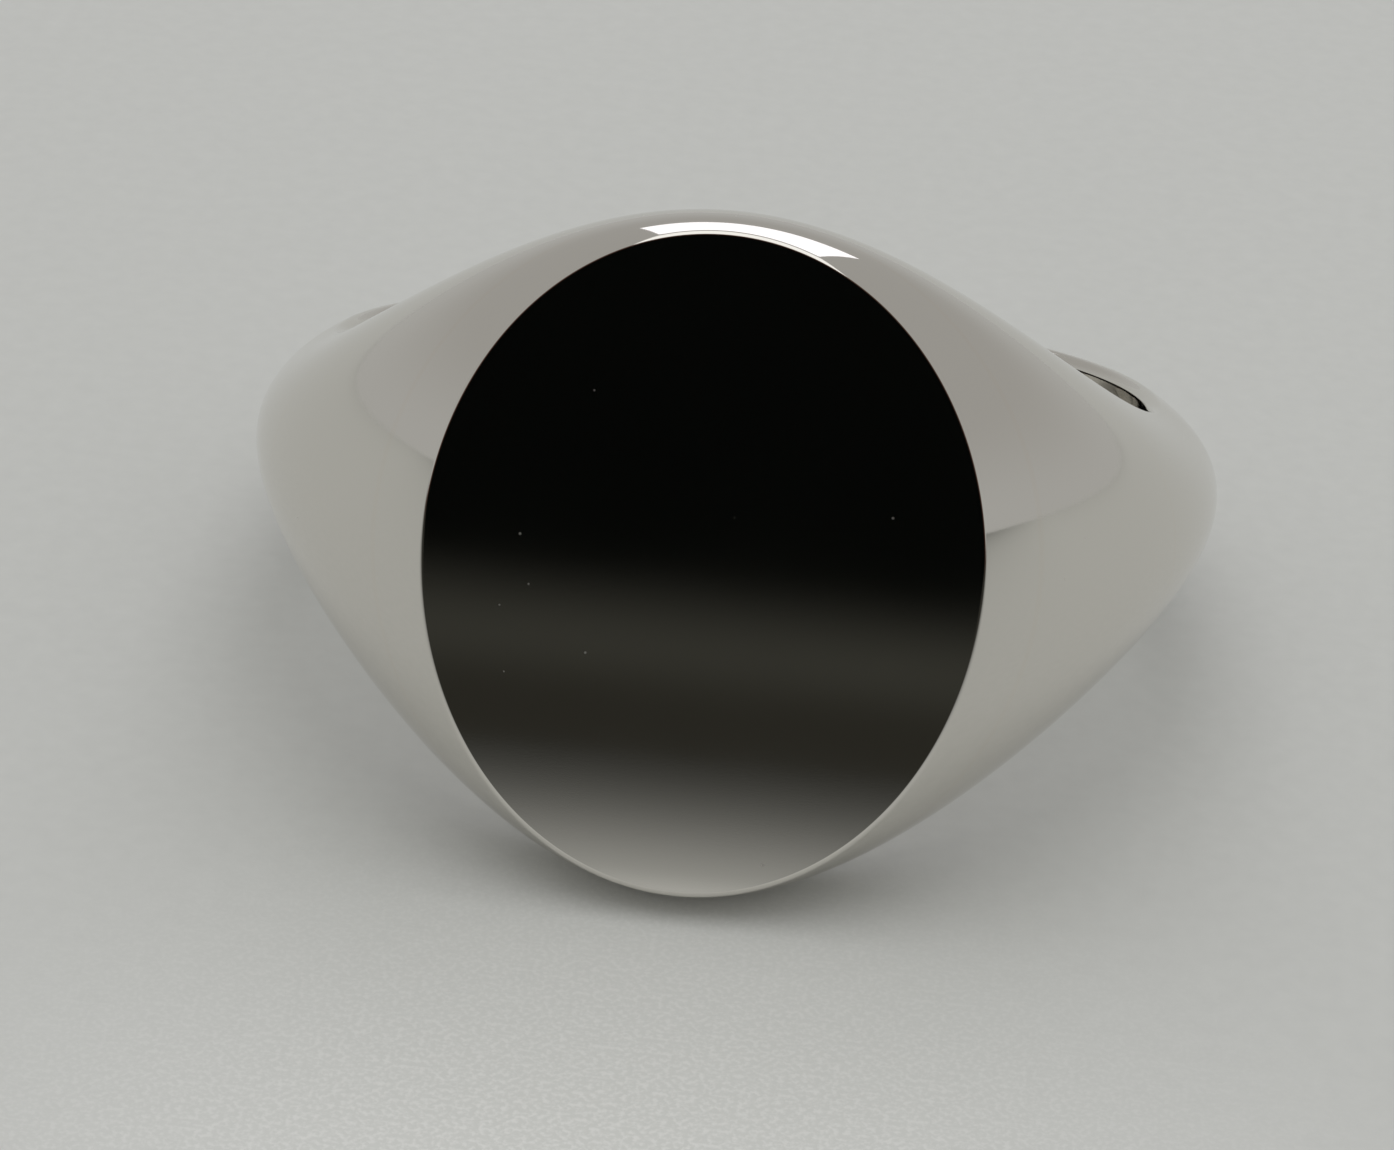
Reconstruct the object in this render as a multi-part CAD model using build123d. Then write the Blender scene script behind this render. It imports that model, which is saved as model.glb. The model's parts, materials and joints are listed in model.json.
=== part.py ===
from build123d import *
import os
from math import acos, cos, degrees, hypot, pi, radians, sin

# Plain oval signet ring in solid silver, put together on the bench from a face plate,
# a head block, two shoulders and a lower shank, with hard solder in every seam. The
# seams are sawn level, parallel to the face. All sizes are in millimetres and degrees.
#
# Bench frame, in which the pieces are shaped: Y is the axis of the finger hole, Z is the
# outward normal of the face and X runs across the finger. The finished ring is then laid
# on its side, as it rests on a table, with +Z up and its face looking towards -Y.

# finger hole
bore_diameter = 18.1
bore_edge_radius = 0.25

# oval face and head
face_width = 11.5
face_length = 14.0
face_edge_radius = 0.15
face_plate_thickness = 1.0
head_thickness = 2.4
head_seam_height = 6.3

# side outline from the face edge down to the widest place of the ring
shoulder_start_drop = 40.0
shoulder_start_pull = 4.3
shoulder_end_pull = 5.5
head_end_flare = 1.2
shoulder_end_flare = 0.35

# shank: wall and D-section at the sides of the finger and at the back
side_wall = 1.82
side_half_length = 3.8
back_wall = 1.5
back_half_length = 3.3
shank_seam_height = -0.5

# hard solder film in each seam
solder_film = 0.1

# fineness of the lofted shapes and reach of the cutting tools
upper_sections = 12
shank_sections = 17
loft_allowance = 1.0
tool_reach = 30.0
edge_match = 0.01

# search for the angle at which the ring lies
largest_lie = 45.0
lie_match = 0.0005

bore_radius = bore_diameter / 2
face_height = bore_radius + head_thickness
side_radius = bore_radius + side_wall
back_radius = bore_radius + back_wall
plate_seat_height = face_height - face_plate_thickness


def outline_point(step):
    """Half-width, half-length and height of the upper body: one cubic Bezier curve,
    from the face edge (step 0) to the widest place of the ring (step 1)."""
    drop = radians(shoulder_start_drop)
    start = Vector(face_width / 2, face_length / 2, face_height)
    start_pull = start + Vector(
        shoulder_start_pull * cos(drop), head_end_flare, -shoulder_start_pull * sin(drop)
    )
    end = Vector(side_radius, side_half_length, 0)
    end_pull = end + Vector(0, shoulder_end_flare, shoulder_end_pull)
    rest = 1 - step
    return (
        start * rest**3
        + start_pull * (3 * rest * rest * step)
        + end_pull * (3 * rest * step * step)
        + end * step**3
    )


def shank_radius(turn):
    """Outer radius of the shank, turn being 0 at the widest place and 1 at the back."""
    return side_radius + (back_radius - side_radius) * (1 - cos(pi * turn)) / 2


def shank_half_length(turn):
    """Half-length of the shank's D-section: a cubic that leaves the widest place with the
    taper of the upper body and ends level at the back."""
    taper = -shoulder_end_flare / shoulder_end_pull * side_radius * pi / 2
    bend = turn * turn * (3 - 2 * turn)
    lead = turn * (1 - turn) ** 2
    return side_half_length + (back_half_length - side_half_length) * bend + taper * lead


def upper_body():
    """Solid body from the face down to the widest place, lofted through level ellipses."""
    levels = []
    for index in range(upper_sections + 1):
        point = outline_point(index / upper_sections)
        levels.append(Pos(0, 0, point.Z) * Ellipse(point.X, point.Y))
    return loft(levels)


def shank_body():
    """Lower half of the ring, lofted round the back through D-sections."""
    inner_radius = bore_radius - loft_allowance
    sections = []
    for index in range(shank_sections):
        angle = radians(90 + 180 * index / (shank_sections - 1))
        turn = 1 - abs(degrees(angle) - 180) / 90
        radius = shank_radius(turn)
        outward = Vector(sin(angle), 0, cos(angle))
        plane = Plane(origin=(0, 0, 0), x_dir=outward, z_dir=outward.cross(Vector(0, 1, 0)))
        reach = degrees(acos(inner_radius / radius))
        bow = EllipticalCenterArc(
            (0, 0), radius, shank_half_length(turn), start_angle=-reach, arc_size=2 * reach
        )
        sections.append(plane * make_face([bow, Line(bow @ 1, bow @ 0)]))
    return loft(sections)


def on_bore(edge):
    """Whether an edge lies on the wall of the finger hole and runs round it."""
    points = (edge @ 0, edge @ 0.5, edge @ 1)
    offsets = [abs(hypot(point.X, point.Z) - bore_radius) for point in points]
    return max(offsets) < edge_match and abs(points[1].Y) > edge_match


def whole_ring():
    """The outer form with its finger hole, bore edges and face edge rounded."""
    bore = Rot(90, 0, 0) * Cylinder(bore_radius, 2 * tool_reach)
    ring = upper_body() + shank_body() - bore
    ring = fillet(ring.edges().filter_by(on_bore), bore_edge_radius)
    face = ring.faces().sort_by(Axis.Z)[-1]
    return fillet(face.edges(), face_edge_radius)


def level_slab(bottom, top):
    """Slab parallel to the face, between two heights."""
    return Pos(0, 0, (bottom + top) / 2) * Box(2 * tool_reach, 2 * tool_reach, top - bottom)


def head_pieces(ring):
    """Face plate, the solder film under it and the head block that carries them."""
    film_height = plate_seat_height - solder_film
    return {
        "face_plate": ring & level_slab(plate_seat_height, tool_reach),
        "face_solder": ring & level_slab(film_height, plate_seat_height),
        "head_block": ring & level_slab(head_seam_height, film_height),
    }


def side_pieces(ring, side, hand):
    """One shoulder with the solder films at its two ends, hand being 1 or -1 along X."""
    half = Pos(hand * tool_reach, 0, 0) * Box(2 * tool_reach, 2 * tool_reach, 2 * tool_reach)
    shoulder_top = head_seam_height - solder_film
    heights = {
        f"{side}_head_solder": (shoulder_top, head_seam_height),
        f"{side}_shoulder": (shank_seam_height, shoulder_top),
        f"{side}_shank_solder": (shank_seam_height - solder_film, shank_seam_height),
    }
    return {
        name: ring & half & level_slab(bottom, top) for name, (bottom, top) in heights.items()
    }


def lower_shank(ring):
    """The D-section band that goes round the back of the finger."""
    return {"lower_shank": ring & level_slab(-tool_reach, shank_seam_height - solder_film)}


def lie_angle(pieces):
    """Angle between the finger hole's axis and upright when the ring lies on its side, on
    the lower edge of its head and the lower edge of its shank: found by halving."""
    low, high = 0.0, largest_lie
    while high - low > lie_match:
        middle = (low + high) / 2
        laid = [
            (Rot(90 - middle, 0, 0) * pieces[name]).bounding_box().min.Z
            for name in ("head_block", "lower_shank")
        ]
        if laid[0] < laid[1]:
            low = middle
        else:
            high = middle
    return (low + high) / 2


def laid_down(pieces):
    """The pieces as they lie on a table, centred on the origin and standing on Z = 0."""
    lie = Rot(90 - lie_angle(pieces), 0, 0)
    turned = {name: lie * piece for name, piece in pieces.items()}
    boxes = [piece.bounding_box() for piece in turned.values()]
    middle = (min(box.min.Y for box in boxes) + max(box.max.Y for box in boxes)) / 2
    seat = Pos(0, -middle, -min(box.min.Z for box in boxes))
    return {name: seat * piece for name, piece in turned.items()}


ring = whole_ring()
bench_pieces = {
    **head_pieces(ring),
    **side_pieces(ring, "left", -1),
    **side_pieces(ring, "right", 1),
    **lower_shank(ring),
}
os.makedirs("parts", exist_ok=True)
for name, piece in laid_down(bench_pieces).items():
    export_step(piece, f"parts/{name}.step")
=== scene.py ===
import json
from math import cos, pi, radians, sin

import bpy
import numpy as np
from mathutils import Matrix, Vector


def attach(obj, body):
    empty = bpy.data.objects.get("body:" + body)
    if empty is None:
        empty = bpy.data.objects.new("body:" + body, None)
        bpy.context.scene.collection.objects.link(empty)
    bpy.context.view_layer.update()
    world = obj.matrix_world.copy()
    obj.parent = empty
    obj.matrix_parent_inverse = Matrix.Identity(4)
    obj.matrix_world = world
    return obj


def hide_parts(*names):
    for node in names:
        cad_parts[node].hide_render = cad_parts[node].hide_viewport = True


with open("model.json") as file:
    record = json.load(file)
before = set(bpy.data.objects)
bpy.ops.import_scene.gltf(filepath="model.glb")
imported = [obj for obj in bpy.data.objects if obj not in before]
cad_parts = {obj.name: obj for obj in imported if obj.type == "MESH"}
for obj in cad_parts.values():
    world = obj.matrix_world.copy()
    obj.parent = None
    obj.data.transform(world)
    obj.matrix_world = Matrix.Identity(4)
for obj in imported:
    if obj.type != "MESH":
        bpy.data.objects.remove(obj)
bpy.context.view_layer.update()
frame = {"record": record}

# A plain signet ring in polished silver: face plate, head block, two shoulders and a lower
# shank, soldered along level seams that are dressed flush. The ring lies on its side.
# Sizes here are in millimetres in the maker's frame: X across the finger, Y along the
# finger hole, Z out of the face. The last step of each piece turns them into the frame's
# metres, with the finger hole and the face where the frame's mounts say.

MM = 0.001
mounts = {mount["name"]: mount for mount in frame["record"]["mounts"]}
hole = mounts["finger_bore"]
oval = mounts["oval_face"]
Y_AXIS = np.array(hole["axis"])
Z_AXIS = np.array(oval["axis"])
ORIGIN = np.array(hole["pos_m"])

# driving sizes of the metal
BORE_RADIUS = hole["dims"]["r_mm"]
FACE_HEIGHT = float((np.array(oval["pos_m"]) - ORIGIN) @ Z_AXIS) / MM
FACE_HALF_WIDTH = 5.75
FACE_HALF_LENGTH = 7.0
SIDE_RADIUS = BORE_RADIUS + 1.82
BACK_RADIUS = BORE_RADIUS + 1.5
SIDE_HALF_LENGTH = 3.8
BACK_HALF_LENGTH = 3.3
START_DROP = radians(40.0)
START_PULL = 4.3
END_PULL = 5.5
END_FLARE = 1.2
SHOULDER_FLARE = 0.35
BORE_EDGE = 0.25
FACE_EDGE = 0.15

# level seams, each with its film of solder
FILM = 0.1
PLATE_SEAT = FACE_HEIGHT - 1.0
HEAD_SEAM = 6.3
SHANK_SEAM_ANGLE = pi / 2 + 0.5 / SIDE_RADIUS
SHANK_FILM_ANGLE = SHANK_SEAM_ANGLE + FILM / SIDE_RADIUS

# fineness of the surfaces
LOOKUP_STEPS = 20000
FACE_STEPS = 720
FACE_RINGS = 12
ROUND_STEPS = 8
WALL_STEPS = 36
BAND_STEPS = 96
BORE_STEPS = BAND_STEPS + 2 * ROUND_STEPS
END_STEPS = 150
SHOULDER_ROWS = 70
SHANK_ROWS = 220


# ---- the form of the metal ----

def outline(step):
    """Half-width, half-length and height of the upper body on one cubic Bezier curve, from
    the face edge at step 0 to the widest place of the ring at step 1."""
    start = np.array([FACE_HALF_WIDTH, FACE_HALF_LENGTH, FACE_HEIGHT])
    pull = np.array([START_PULL * cos(START_DROP), END_FLARE, -START_PULL * sin(START_DROP)])
    end = np.array([SIDE_RADIUS, SIDE_HALF_LENGTH, 0.0])
    end_pull = np.array([0.0, SHOULDER_FLARE, END_PULL])
    rest = 1 - step
    weights = np.stack([rest**3, 3 * rest**2 * step, 3 * rest * step**2, step**3], -1)
    return weights @ np.stack([start, start + pull, end + end_pull, end])


OUTLINE = outline(np.linspace(0, 1, LOOKUP_STEPS + 1))[::-1]


def level(height):
    """Half-width and half-length of the upper body's ellipse at a height."""
    return (
        np.interp(height, OUTLINE[:, 2], OUTLINE[:, 0]),
        np.interp(height, OUTLINE[:, 2], OUTLINE[:, 1]),
    )


def shank(angle):
    """Outer radius and half-length of the shank's D-section at an angle from the face's
    normal, past the widest place: a cosine swell in radius, a cubic taper in length."""
    turn = np.clip(1 - np.abs(angle - pi) / (pi / 2), 0, 1)
    radius = SIDE_RADIUS + (BACK_RADIUS - SIDE_RADIUS) * (1 - np.cos(pi * turn)) / 2
    taper = -SHOULDER_FLARE / END_PULL * SIDE_RADIUS * pi / 2
    bend = turn**2 * (3 - 2 * turn)
    lead = turn * (1 - turn) ** 2
    length = SIDE_HALF_LENGTH + (BACK_HALF_LENGTH - SIDE_HALF_LENGTH) * bend + taper * lead
    return radius, length


def half_length(radius, angle):
    """Half-length of the outer skin at a radius, in the half-plane at an angle: above the
    widest place from the level ellipse, below it from the D-section."""
    wide, long = level(radius * np.cos(angle))
    above = long * np.sqrt(np.clip(1 - (radius * np.sin(angle) / wide) ** 2, 0, 1))
    outer, long = shank(angle)
    below = long * np.sqrt(np.clip(1 - (radius / outer) ** 2, 0, 1))
    return np.where(angle < pi / 2, above, below)


def skin_normal(points):
    """Outward normal of the outer skin, the gradient of its ellipse equation, with the
    change of the half-width and half-length along the form taken by small differences."""
    x, y, z = points[..., 0], points[..., 1], points[..., 2]
    small = 1e-3
    wide, long = level(z)
    low, high = level(z - small), level(z + small)
    slope_wide = (high[0] - low[0]) / (2 * small)
    slope_long = (high[1] - low[1]) / (2 * small)
    above = np.stack([
        x / wide**2,
        y / long**2,
        -(x**2) * slope_wide / wide**3 - y**2 * slope_long / long**3,
    ], -1)
    radius = np.maximum(np.hypot(x, z), small)
    angle = np.arctan2(np.abs(x), z)
    outer, long = shank(angle)
    low, high = shank(angle - small), shank(angle + small)
    slope_outer = (high[0] - low[0]) / (2 * small)
    slope_long = (high[1] - low[1]) / (2 * small)
    out = radius / outer**2
    along = (-(radius**2) * slope_outer / outer**3 - y**2 * slope_long / long**3) / radius
    hand = np.where(x < 0, -1.0, 1.0)
    below = np.stack([
        out * x / radius + along * hand * np.cos(angle),
        y / long**2,
        out * z / radius - along * np.sin(angle),
    ], -1)
    return unit(np.where((z > 0)[..., None], above, below))


def unit(vectors):
    """Vectors scaled to length one."""
    return vectors / np.maximum(np.linalg.norm(vectors, axis=-1, keepdims=True), 1e-12)


def turned_between(first, second, share):
    """Unit vectors turned from one direction to another at an even rate."""
    angle = np.arccos(np.clip(np.sum(first * second, -1, keepdims=True), -1, 1))
    angle = np.maximum(angle, 1e-6)
    return (np.sin((1 - share) * angle) * first + np.sin(share * angle) * second) / np.sin(angle)


def around(radius, y, angle):
    """Points at a radius from the finger hole's axis and an angle from the face's normal."""
    return np.stack(np.broadcast_arrays(radius * np.sin(angle), y, radius * np.cos(angle)), -1)


def bore_edge(angle):
    """Rounded edge of the finger hole at angles from 0 to pi: a circle in each half-plane
    that touches the hole's wall and the outer skin. Gives points and normals, from the
    outer skin to the wall, and the touching radius on the skin."""
    small = 1e-4
    radius = np.full_like(angle, BORE_RADIUS + BORE_EDGE)
    for _ in range(30):
        low, high = half_length(radius - small, angle), half_length(radius + small, angle)
        slope = (high - low) / (2 * small)
        scale = np.sqrt(1 + slope**2)
        radius = BORE_RADIUS + BORE_EDGE * (1 - slope / scale)
    centre = half_length(radius, angle) - BORE_EDGE / scale
    start = np.arctan2(1 / scale, -slope / scale)
    share = np.linspace(0, 1, ROUND_STEPS + 1)[:, None]
    turn = start + (pi - start) * share
    points = around(
        BORE_RADIUS + BORE_EDGE + BORE_EDGE * np.cos(turn), centre + BORE_EDGE * np.sin(turn), angle
    )
    first = skin_normal(points[:1])
    last = -around(1.0, 0.0, angle)[None]
    return points, turned_between(first, last, share[..., None]), radius


def signed_edge(angle, end):
    """The rounded edge at either end of the hole and on either side of the ring."""
    points, normals, radius = bore_edge(np.abs(angle))
    flip = np.stack(np.broadcast_arrays(np.where(angle < 0, -1.0, 1.0), end, 1.0), -1)
    return points * flip, normals * flip, radius


ANGLES = np.linspace(0, pi / 2, 4001)
EDGE_HEIGHTS = bore_edge(ANGLES)[2] * np.cos(ANGLES)


def angle_at(height):
    """Angle at which the rounded edge of the hole leaves the skin at a height."""
    return float(np.interp(-height, -EDGE_HEIGHTS, ANGLES))


def reach_at(angle):
    """How far round the skin's ellipse the metal reaches at an angle, as the ellipse's own
    parameter, between the two rounded edges of the hole."""
    radius = bore_edge(angle)[2]
    wide = level(radius * np.cos(angle))[0]
    outer = shank(angle)[0]
    above = np.arccos(np.clip(radius * np.sin(angle) / wide, -1, 1))
    return np.where(angle < pi / 2, above, np.arccos(np.clip(radius / outer, -1, 1))), radius


def wall(parameter, height):
    """Points of the upper skin from the ellipse's parameter and the height."""
    wide, long = level(height)
    return np.stack([wide * np.cos(parameter), long * np.sin(parameter), height], -1)


# ---- patches: a grid of points with a grid of normals ----

def skin_patch(parameter, height):
    """A stretch of the upper skin on a grid of ellipse parameters and heights."""
    points = wall(parameter, height)
    return points, skin_normal(points)


def hole_patch(angle):
    """The finger hole's wall between its two rounded edges."""
    near = signed_edge(angle, -1.0)[0][-1]
    far = signed_edge(angle, 1.0)[0][-1]
    share = np.linspace(0, 1, BORE_STEPS + 1)[:, None, None]
    points = near + (far - near) * share
    return points, unit(points * np.array([-1.0, 0.0, -1.0]))


def band_patch(angle, hand):
    """The outer skin of a shoulder or of the shank between the hole's rounded edges."""
    reach, radius = reach_at(angle)
    parameter = np.linspace(-1, 1, BAND_STEPS + 1)[:, None] * reach
    above = wall(parameter, np.broadcast_to(radius * np.cos(angle), parameter.shape))
    outer, long = shank(angle)
    below = around(outer * np.cos(parameter), long * np.sin(parameter), angle)
    points = np.where((angle < pi / 2)[:, None], above, below) * np.array([hand, 1.0, 1.0])
    return points, skin_normal(points)


def section_patch(angle, hand, facing):
    """The cut face of the metal at an angle, facing up (1) or down (-1) the form: straight
    across from the finger hole's wall to the skin."""
    at = np.array([angle])
    near, far = signed_edge(at, -1.0)[0][::-1, 0], signed_edge(at, 1.0)[0][:, 0]
    middle = band_patch(at, 1.0)[0][:, 0]
    rim = np.concatenate([near, middle[1:-1], far])
    inner = np.linspace(near[0], far[-1], len(rim))
    points = np.stack([inner, rim]) * np.array([hand, 1.0, 1.0])
    normal = facing * np.array([-hand * cos(angle), 0.0, sin(angle)])
    return points, np.broadcast_to(normal, points.shape)


def disc_patch(rim, facing, rings=2):
    """A flat disc inside a rim, facing up or down."""
    centre = np.array([0.0, 0.0, rim[0, 2]])
    share = np.linspace(0, 1, rings)[:, None, None]
    points = centre + (rim - centre) * share
    return points, np.broadcast_to(np.array([0.0, 0.0, facing]), points.shape)


def piece(name, patches, material, nodes):
    """Joins patches into one closed mesh: equal points become one, each corner keeps its
    patch's normal, and each triangle is turned to face the way its normals do."""
    points, normals, triangles = [], [], []
    first = 0
    for grid, directions in patches:
        rows, columns = grid.shape[:2]
        index = first + np.arange(rows * columns).reshape(rows, columns)
        a, b, c, d = index[:-1, :-1], index[1:, :-1], index[1:, 1:], index[:-1, 1:]
        triangles.append(np.concatenate([
            np.stack([a, b, c], -1).reshape(-1, 3), np.stack([a, c, d], -1).reshape(-1, 3)
        ]))
        points.append(grid.reshape(-1, 3))
        normals.append(directions.reshape(-1, 3))
        first += rows * columns
    points, normals = np.concatenate(points), np.concatenate(normals)
    triangles = np.concatenate(triangles)
    shared, merged = np.unique(np.round(points, 5), axis=0, return_inverse=True)
    merged = merged.reshape(-1)
    corners = merged[triangles]
    whole = (corners[:, 0] != corners[:, 1]) & (corners[:, 1] != corners[:, 2])
    whole &= corners[:, 2] != corners[:, 0]
    triangles, corners = triangles[whole], corners[whole]
    spot = shared[corners]
    across = np.cross(spot[:, 1] - spot[:, 0], spot[:, 2] - spot[:, 0])
    inward = np.sum(across * normals[triangles].sum(1), -1) < 0
    corners[inward] = corners[inward][:, ::-1]
    triangles[inward] = triangles[inward][:, ::-1]
    turn = np.stack([[1.0, 0.0, 0.0], Y_AXIS, Z_AXIS])
    mesh = bpy.data.meshes.new(f"{name}_polished")
    mesh.from_pydata((shared * MM @ turn + ORIGIN).tolist(), [], corners.tolist())
    mesh.polygons.foreach_set("use_smooth", np.ones(len(corners), bool))
    mesh.normals_split_custom_set((normals[triangles.reshape(-1)] @ turn).tolist())
    mesh.materials.append(material)
    made = bpy.data.objects.new(f"{name}_polished", mesh)
    bpy.context.scene.collection.objects.link(made)
    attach(made, "root")
    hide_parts(*nodes)
    return made


# ---- materials ----

def linear(code):
    """sRGB hex to linear colour."""
    channels = [int(code[place:place + 2], 16) / 255 for place in (1, 3, 5)]
    return [c / 12.92 if c <= 0.04045 else ((c + 0.055) / 1.055) ** 2.4 for c in channels] + [1.0]


def add(tree, kind, settings=None, **links):
    """Adds a shader node, with its settings and what its inputs take: a value or a socket."""
    node = tree.nodes.new(kind)
    for key, value in (settings or {}).items():
        setattr(node, key, value)
    for key, value in links.items():
        socket = node.inputs[int(key[1:])] if key[1:].isdigit() else node.inputs[key.replace("_", " ")]
        if isinstance(value, bpy.types.NodeSocket):
            tree.links.new(value, socket)
        else:
            socket.default_value = value
    return node


def ramp(tree, value, low, high):
    """A smooth step from 0 to 1 as the value goes from low to high."""
    node = add(tree, "ShaderNodeMapRange", {"interpolation_type": "SMOOTHSTEP"}, Value=value)
    node.inputs["From Min"].default_value = low
    node.inputs["From Max"].default_value = high
    return node.outputs["Result"]


def new_tree(name):
    """A new material with an empty node tree."""
    material = bpy.data.materials.new(name)
    material.use_nodes = True
    material.node_tree.nodes.clear()
    return material, material.node_tree


def polished_metal(name, colour, roughness, line_depth):
    """Silver, cast or rolled, then cut down with a mop and polished with rouge: a mirror with
    the faintest polishing lines, a few buffing pits and a very slight orange peel."""
    material, tree = new_tree(name)
    place = add(tree, "ShaderNodeTexCoord").outputs["Object"]
    # polishing lines stand about 0.03 mm apart
    stretched = add(tree, "ShaderNodeMapping", Vector=place, Scale=(1.0, 0.06, 1.0))
    lines = add(
        tree, "ShaderNodeTexNoise", Vector=stretched.outputs[0], Scale=1 / (0.03 * MM), Detail=2.0
    )
    # tarnish and finger film vary over about 3 mm
    film = add(tree, "ShaderNodeTexNoise", Vector=place, Scale=1 / (3.0 * MM), Detail=3.0)
    # buffing pits: cells of 0.9 mm, a pit of 0.02 mm in a few of them
    pits = add(tree, "ShaderNodeTexVoronoi", Vector=place, Scale=1 / (0.9 * MM))
    pit = add(
        tree, "ShaderNodeMath", {"operation": "LESS_THAN"}, i0=pits.outputs["Distance"], i1=0.03
    )
    rough = add(tree, "ShaderNodeMapRange", Value=film.outputs[0])
    rough.inputs["To Min"].default_value = roughness * 0.8
    rough.inputs["To Max"].default_value = roughness * 1.3
    pitted = add(
        tree, "ShaderNodeMath", {"operation": "MULTIPLY_ADD"},
        i0=pit.outputs[0], i1=0.25, i2=rough.outputs[0],
    )
    bump = add(
        tree, "ShaderNodeBump", Height=lines.outputs[0], Strength=line_depth, Distance=0.001 * MM
    )
    metal = add(
        tree, "ShaderNodeBsdfPrincipled", Base_Color=linear(colour), Metallic=1.0,
        Roughness=pitted.outputs[0], Normal=bump.outputs[0],
    )
    add(tree, "ShaderNodeOutputMaterial", Surface=metal.outputs[0])
    return material


MIRROR_SILVER = polished_metal("sterling_silver_lapped_mirror", "#DCD9D3", 0.04, 0.05)
SILVER = polished_metal("sterling_silver_mop_polished", "#DCD9D3", 0.06, 0.15)
SOLDER = polished_metal("hard_silver_solder_polished", "#DCD8D1", 0.06, 0.15)


# ---- the pieces ----

def face_plate():
    """The oval plate: lapped flat face, rounded edge and flared side down to its seat."""
    parameter = np.linspace(0, 2 * pi, FACE_STEPS + 1)
    out = unit(np.stack([
        FACE_HALF_LENGTH * np.cos(parameter), FACE_HALF_WIDTH * np.sin(parameter), 0 * parameter
    ], -1))
    up = np.array([0.0, 0.0, 1.0])
    flare = skin_normal(wall(parameter, np.full_like(parameter, FACE_HEIGHT - 1e-3)))
    slope = np.arctan2(np.sum(flare * out, -1), flare[:, 2])
    back = FACE_EDGE * np.tan(slope / 2)
    edge = wall(parameter, np.full_like(parameter, FACE_HEIGHT))
    centre = edge - out * back[:, None] - up * FACE_EDGE
    share = np.linspace(0, 1, ROUND_STEPS + 1)[:, None]
    turn = (share * slope)[..., None]
    rounded = centre + FACE_EDGE * (out * np.sin(turn) + up * np.cos(turn))
    side_top = FACE_HEIGHT - back * np.sin(slope)
    rounded[-1] = wall(parameter, side_top)
    normals = turned_between(up[None, None], skin_normal(rounded[-1:]), share[..., None])
    rows = np.linspace(0, 1, WALL_STEPS + 1)[:, None]
    grid = np.broadcast_to(parameter, (len(rows), len(parameter)))
    side = skin_patch(grid, PLATE_SEAT + (side_top - PLATE_SEAT) * rows)
    face = disc_patch(rounded[0], 1.0, FACE_RINGS)
    patches = [side, (rounded, normals), face, disc_patch(side[0][0], -1.0)]
    return piece("face_plate", patches, MIRROR_SILVER, ["face_plate"])


def face_solder():
    """The film under the plate: a thin oval slice of the form."""
    parameter = np.linspace(0, 2 * pi, FACE_STEPS + 1)
    rows = np.linspace(PLATE_SEAT - FILM, PLATE_SEAT, 3)[:, None]
    grid = np.broadcast_to(parameter, (len(rows), len(parameter)))
    side = skin_patch(grid, np.broadcast_to(rows, grid.shape))
    patches = [side, disc_patch(side[0][-1], 1.0), disc_patch(side[0][0], -1.0)]
    return piece("face_solder", patches, SOLDER, ["face_solder"])


def head_block():
    """The block behind the plate, with the top of the finger hole: two end walls that start
    at the hole's rounded edges and two sides that start at the level seams."""
    seam = angle_at(HEAD_SEAM)
    ends = np.sin(np.linspace(-pi / 2, pi / 2, END_STEPS + 1)) * seam
    reach, radius = reach_at(np.abs(ends))
    end_parameter = np.where(ends < 0, pi - reach, reach)
    end_height = radius * np.cos(ends)
    side = np.linspace(-reach[-1], reach[-1], BAND_STEPS + 1)
    side_height = np.full_like(side, end_height[-1])
    parameter = np.concatenate([
        side[:-1], end_parameter[::-1][:-1], pi + side[:-1], 2 * pi - end_parameter
    ])
    low = np.concatenate([side_height[:-1], end_height[::-1][:-1], side_height[:-1], end_height])
    top = PLATE_SEAT - FILM
    rows = np.linspace(0, 1, WALL_STEPS + 1)[:, None]
    outer = skin_patch(np.broadcast_to(parameter, (len(rows), len(parameter))), low + (top - low) * rows)
    patches = [outer, disc_patch(outer[0][-1], 1.0), hole_patch(ends)]
    patches += [signed_edge(ends, end)[:2] for end in (-1.0, 1.0)]
    for hand in (-1.0, 1.0):
        near = signed_edge(np.array([seam]), -1.0)[0][::-1, 0]
        far = signed_edge(np.array([seam]), 1.0)[0][:, 0]
        arc = wall(side, side_height)
        rim = np.concatenate([near, arc[1:-1], far])
        points = np.stack([np.linspace(near[0], far[-1], len(rim)), rim]) * np.array([hand, 1.0, 1.0])
        patches.append((points, np.broadcast_to(np.array([0.0, 0.0, -1.0]), points.shape)))
    return piece("head_block", patches, SILVER, ["head_block"])


def band(name, start, end, rows, hand, material):
    """A stretch of the ring between two angles on one side: skin, two rounded edges, the
    hole's wall and the two cut faces."""
    angle = np.linspace(start, end, rows + 1)
    mirror = np.array([hand, 1.0, 1.0])
    patches = [band_patch(angle, hand)]
    for points, normals in [hole_patch(angle)] + [signed_edge(angle, e)[:2] for e in (-1.0, 1.0)]:
        patches.append((points * mirror, normals * mirror))
    patches += [section_patch(start, hand, 1.0), section_patch(end, hand, -1.0)]
    return piece(name, patches, material, [name])


def lower_shank():
    """The D-section band round the back of the finger, as two mirrored halves of one mesh."""
    start = SHANK_FILM_ANGLE
    angle = np.linspace(start, pi, SHANK_ROWS // 2 + 1)
    patches = []
    for hand in (-1.0, 1.0):
        mirror = np.array([hand, 1.0, 1.0])
        patches.append(band_patch(angle, hand))
        for points, normals in [hole_patch(angle)] + [signed_edge(angle, e)[:2] for e in (-1.0, 1.0)]:
            patches.append((points * mirror, normals * mirror))
        patches.append(section_patch(start, hand, 1.0))
    return piece("lower_shank", patches, SILVER, ["lower_shank"])


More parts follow.
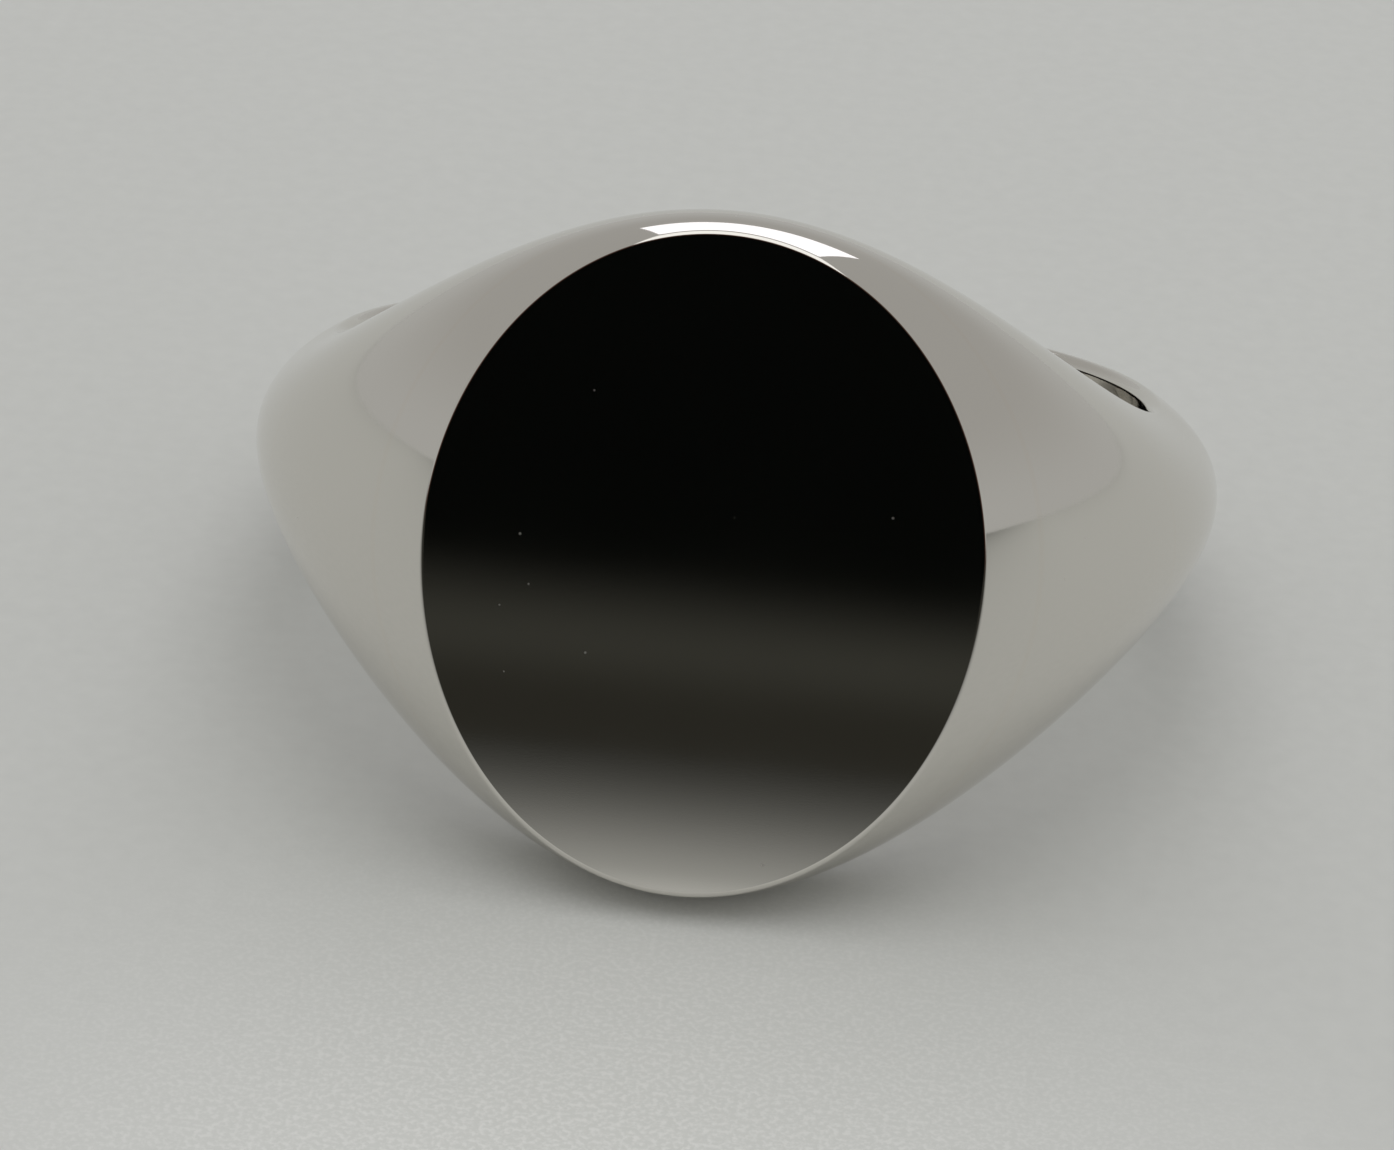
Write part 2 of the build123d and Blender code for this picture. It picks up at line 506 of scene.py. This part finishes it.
face_plate()
face_solder()
head_block()
for side_name, hand in (("left", -1.0), ("right", 1.0)):
    head_angles = angle_at(HEAD_SEAM), angle_at(HEAD_SEAM - FILM)
    band(f"{side_name}_head_solder", *head_angles, 2, hand, SOLDER)
    band(f"{side_name}_shoulder", head_angles[1], SHANK_SEAM_ANGLE, SHOULDER_ROWS, hand, SILVER)
    band(f"{side_name}_shank_solder", SHANK_SEAM_ANGLE, SHANK_FILM_ANGLE, 2, hand, SOLDER)
lower_shank()


# ---- floor, surroundings and lamps ----

def floor():
    """A matt pale card, with its speckle and a painted pool of light: a lighter round in front of the
    ring. In the ring's polish the stretch in front is painted darker with distance, a painted reflection
    that falls away into the dim room behind the viewer."""
    material, tree = new_tree("matt_pale_card")
    place = add(tree, "ShaderNodeTexCoord").outputs["Object"]
    axes = add(tree, "ShaderNodeSeparateXYZ", Vector=place)
    grain = add(tree, "ShaderNodeTexNoise", Vector=place, Scale=1 / (0.5 * MM), Detail=2.0)
    tone = add(tree, "ShaderNodeMix", {"data_type": "RGBA"}, Factor=grain.outputs[0])
    tone.inputs[6].default_value = linear(CARD_DARK)
    tone.inputs[7].default_value = linear(CARD_LIGHT)
    # painted pool of light: the card is painted lighter, with a coarser speckle, in a round in front of
    # the ring
    speckle = add(tree, "ShaderNodeTexNoise", Vector=place, Scale=1 / (0.12 * MM), Detail=2.0)
    painted_pool_tone = add(
        tree, "ShaderNodeMix", {"data_type": "RGBA"}, Factor=ramp(tree, speckle.outputs[0], 0.4, 0.7)
    )
    painted_pool_tone.inputs[6].default_value = linear(PAINTED_POOL_DARK)
    painted_pool_tone.inputs[7].default_value = linear(PAINTED_POOL_LIGHT)
    from_painted_pool = add(
        tree, "ShaderNodeVectorMath", {"operation": "DISTANCE"}, i0=place, i1=(0.0, PAINTED_POOL_Y * MM, 0.0)
    )
    near = ramp(tree, from_painted_pool.outputs["Value"], PAINTED_POOL_RADIUS * MM, 0.0)
    card_and_painted_pool = add(tree, "ShaderNodeMix", {"data_type": "RGBA"}, Factor=near)
    tree.links.new(tone.outputs[2], card_and_painted_pool.inputs[6])
    tree.links.new(painted_pool_tone.outputs[2], card_and_painted_pool.inputs[7])
    # painted reflection: for glossy rays only, the card is painted towards a dim tone by d^2 / (d^2 +
    # h^2), at a distance d in front of the ring, so that half of its tone is gone at the distance h
    front = add(tree, "ShaderNodeMath", {"operation": "MINIMUM"}, i0=axes.outputs["Y"], i1=0.0)
    square = add(
        tree, "ShaderNodeMath", {"operation": "MULTIPLY"}, i0=front.outputs[0], i1=front.outputs[0]
    )
    total = add(
        tree, "ShaderNodeMath", {"operation": "ADD"}, i0=square.outputs[0], i1=(PAINTED_DIM_HALF * MM) ** 2
    )
    painted_dim_share = add(
        tree, "ShaderNodeMath", {"operation": "DIVIDE"}, i0=square.outputs[0], i1=total.outputs[0]
    ).outputs[0]
    glossy = add(tree, "ShaderNodeLightPath").outputs["Is Glossy Ray"]
    dim = add(tree, "ShaderNodeMath", {"operation": "MULTIPLY"}, i0=painted_dim_share, i1=glossy)
    shown = add(tree, "ShaderNodeMix", {"data_type": "RGBA"}, Factor=dim.outputs[0])
    tree.links.new(card_and_painted_pool.outputs[2], shown.inputs[6])
    shown.inputs[7].default_value = linear(PAINTED_REFLECTION_DIM)
    card = add(tree, "ShaderNodeBsdfDiffuse", Color=shown.outputs[2])
    add(tree, "ShaderNodeOutputMaterial", Surface=card.outputs[0])
    mesh = bpy.data.meshes.new("floor")
    half = FLOOR_HALF
    corners = [(-half, -half, 0), (half, -half, 0), (half, half, 0), (-half, half, 0)]
    mesh.from_pydata(corners, [], [(0, 1, 2, 3)])
    mesh.materials.append(material)
    made = bpy.data.objects.new("floor", mesh)
    bpy.context.scene.collection.objects.link(made)


def surroundings():
    """A pale tent all round, seen by the eye as the floor's tone, and in the ring's polish
    open at the front on a dim room: a low dark stretch, a faint grey band just above the
    horizon and darkness over it."""
    world = bpy.data.worlds.new("tent")
    bpy.context.scene.world = world
    world.use_nodes = True
    tree = world.node_tree
    tree.nodes.clear()
    way = add(tree, "ShaderNodeTexCoord").outputs["Generated"]
    axes = add(tree, "ShaderNodeSeparateXYZ", Vector=way)
    height = axes.outputs["Z"]
    front = ramp(tree, axes.outputs["Y"], -ROOM_EDGE_START, -ROOM_EDGE_END)
    low_room = add(
        tree, "ShaderNodeMix", {"data_type": "RGBA"}, Factor=ramp(tree, height, 0.0, BAND_MIDDLE)
    )
    low_room.inputs[6].default_value = linear(ROOM_LOW)
    low_room.inputs[7].default_value = linear(ROOM_BAND)
    room = add(
        tree, "ShaderNodeMix", {"data_type": "RGBA"}, Factor=ramp(tree, height, BAND_MIDDLE, BAND_HIGH)
    )
    tree.links.new(low_room.outputs[2], room.inputs[6])
    room.inputs[7].default_value = linear(ROOM_DARK)
    tent = add(tree, "ShaderNodeMix", {"data_type": "RGBA"}, Factor=ramp(tree, height, 0.0, TENT_RISE))
    tent.inputs[6].default_value = linear(TENT_LOW)
    tent.inputs[7].default_value = linear(TENT_HIGH)
    # the open front has a brown edge
    rim = ramp(tree, axes.outputs["Y"], -EDGE_START, -ROOM_EDGE_START)
    edged = add(tree, "ShaderNodeMix", {"data_type": "RGBA"}, Factor=rim)
    tree.links.new(tent.outputs[2], edged.inputs[6])
    edged.inputs[7].default_value = linear(ROOM_EDGE)
    seen = add(tree, "ShaderNodeMix", {"data_type": "RGBA"}, Factor=front)
    tree.links.new(edged.outputs[2], seen.inputs[6])
    tree.links.new(room.outputs[2], seen.inputs[7])
    light = add(tree, "ShaderNodeLightPath")
    glossy = add(tree, "ShaderNodeMix", {"data_type": "RGBA"}, Factor=light.outputs["Is Glossy Ray"])
    glossy.inputs[6].default_value = linear(TENT_LIGHT)
    tree.links.new(seen.outputs[2], glossy.inputs[7])
    shown = add(tree, "ShaderNodeMix", {"data_type": "RGBA"}, Factor=light.outputs["Is Camera Ray"])
    tree.links.new(glossy.outputs[2], shown.inputs[6])
    shown.inputs[7].default_value = linear(BACKDROP)
    back = add(tree, "ShaderNodeBackground", Color=shown.outputs[2], Strength=1.0)
    add(tree, "ShaderNodeOutputWorld", Surface=back.outputs[0])


def lamp(name, place, size, power, colour=(1.0, 1.0, 1.0)):
    """A soft rectangular lamp that points at the ring's foot."""
    data = bpy.data.lights.new(name, "AREA")
    data.shape = "RECTANGLE"
    data.size, data.size_y = size
    data.energy = power
    data.color = colour
    made = bpy.data.objects.new(name, data)
    made.location = place
    aim = -Vector(place)
    made.rotation_euler = aim.to_track_quat("-Z", "Y").to_euler()
    bpy.context.scene.collection.objects.link(made)
    return made


FLOOR_HALF = 0.3
CARD_DARK = "#CFD0CD"
CARD_LIGHT = "#D6D7D4"
# distance in front of the ring at which half the card's tone is painted away in the ring's polish
PAINTED_DIM_HALF = 66.0
# painted pool of light on the card in front of the ring: its two tones, its place in front and its
# radius
PAINTED_POOL_DARK = "#E6E7E4"
PAINTED_POOL_LIGHT = "#F8F8F6"
PAINTED_POOL_Y = -25.0
PAINTED_POOL_RADIUS = 20.0
# dim tone the card is painted towards in the ring's polish, a painted reflection
PAINTED_REFLECTION_DIM = "#2A2A26"
ROOM_LOW = "#2D2C27"
ROOM_BAND = "#3C3C37"
ROOM_DARK = "#050605"
ROOM_EDGE = "#4E382F"
EDGE_START = 0.42
ROOM_EDGE_START = 0.55
ROOM_EDGE_END = 0.8
BAND_MIDDLE = 0.012
BAND_HIGH = 0.032
TENT_LOW = "#B9B9B7"
TENT_HIGH = "#AFAEAB"
TENT_LIGHT = "#BCBCBA"
TENT_RISE = 0.3
BACKDROP = "#B7B8B5"

floor()
surroundings()
lamp("overhead", (0.0, -0.05, 0.5), (0.5, 0.5), 0.64)
lamp("back_strip", (0.0, 0.35, 0.27), (0.34, 0.20), 0.26, (0.94, 0.92, 1.0))


# ---- camera ----

CAMERA_DISTANCE = 90.0
CAMERA_PITCH = 0.2594
CAMERA_YAW = 0.0578
CAMERA_ROLL = 0.0856
DOTS_PER_MM = 49.12
FRAME_WIDTH = 1394
SENSOR = 36.0
AIM_ASIDE = 0.084
AIM_BELOW = 0.076


def camera():
    """Looks down on the face from a little above its normal, slightly rolled."""
    side = np.array([cos(CAMERA_YAW), 0.0, -sin(CAMERA_YAW)])
    rise = np.array([
        -sin(CAMERA_PITCH) * sin(CAMERA_YAW), cos(CAMERA_PITCH), -sin(CAMERA_PITCH) * cos(CAMERA_YAW)
    ])
    back = np.array([
        cos(CAMERA_PITCH) * sin(CAMERA_YAW), sin(CAMERA_PITCH), cos(CAMERA_PITCH) * cos(CAMERA_YAW)
    ])
    right = cos(CAMERA_ROLL) * side + sin(CAMERA_ROLL) * rise
    up = -sin(CAMERA_ROLL) * side + cos(CAMERA_ROLL) * rise
    turn = np.stack([[1.0, 0.0, 0.0], Y_AXIS, Z_AXIS])
    place = np.array([0.0, 0.0, FACE_HEIGHT]) - right * AIM_ASIDE - up * AIM_BELOW
    place = (place + back * CAMERA_DISTANCE) * MM @ turn + ORIGIN
    axes = Matrix(np.stack([right @ turn, up @ turn, back @ turn]).T.tolist()).to_4x4()
    data = bpy.data.cameras.new("camera")
    data.sensor_width = SENSOR
    data.lens = SENSOR * DOTS_PER_MM * CAMERA_DISTANCE / FRAME_WIDTH
    data.clip_start = 0.005
    data.clip_end = 10.0
    made = bpy.data.objects.new("camera", data)
    made.matrix_world = Matrix.Translation(place) @ axes
    bpy.context.scene.collection.objects.link(made)
    bpy.context.scene.camera = made


camera()
bpy.context.scene.view_settings.view_transform = "Standard"
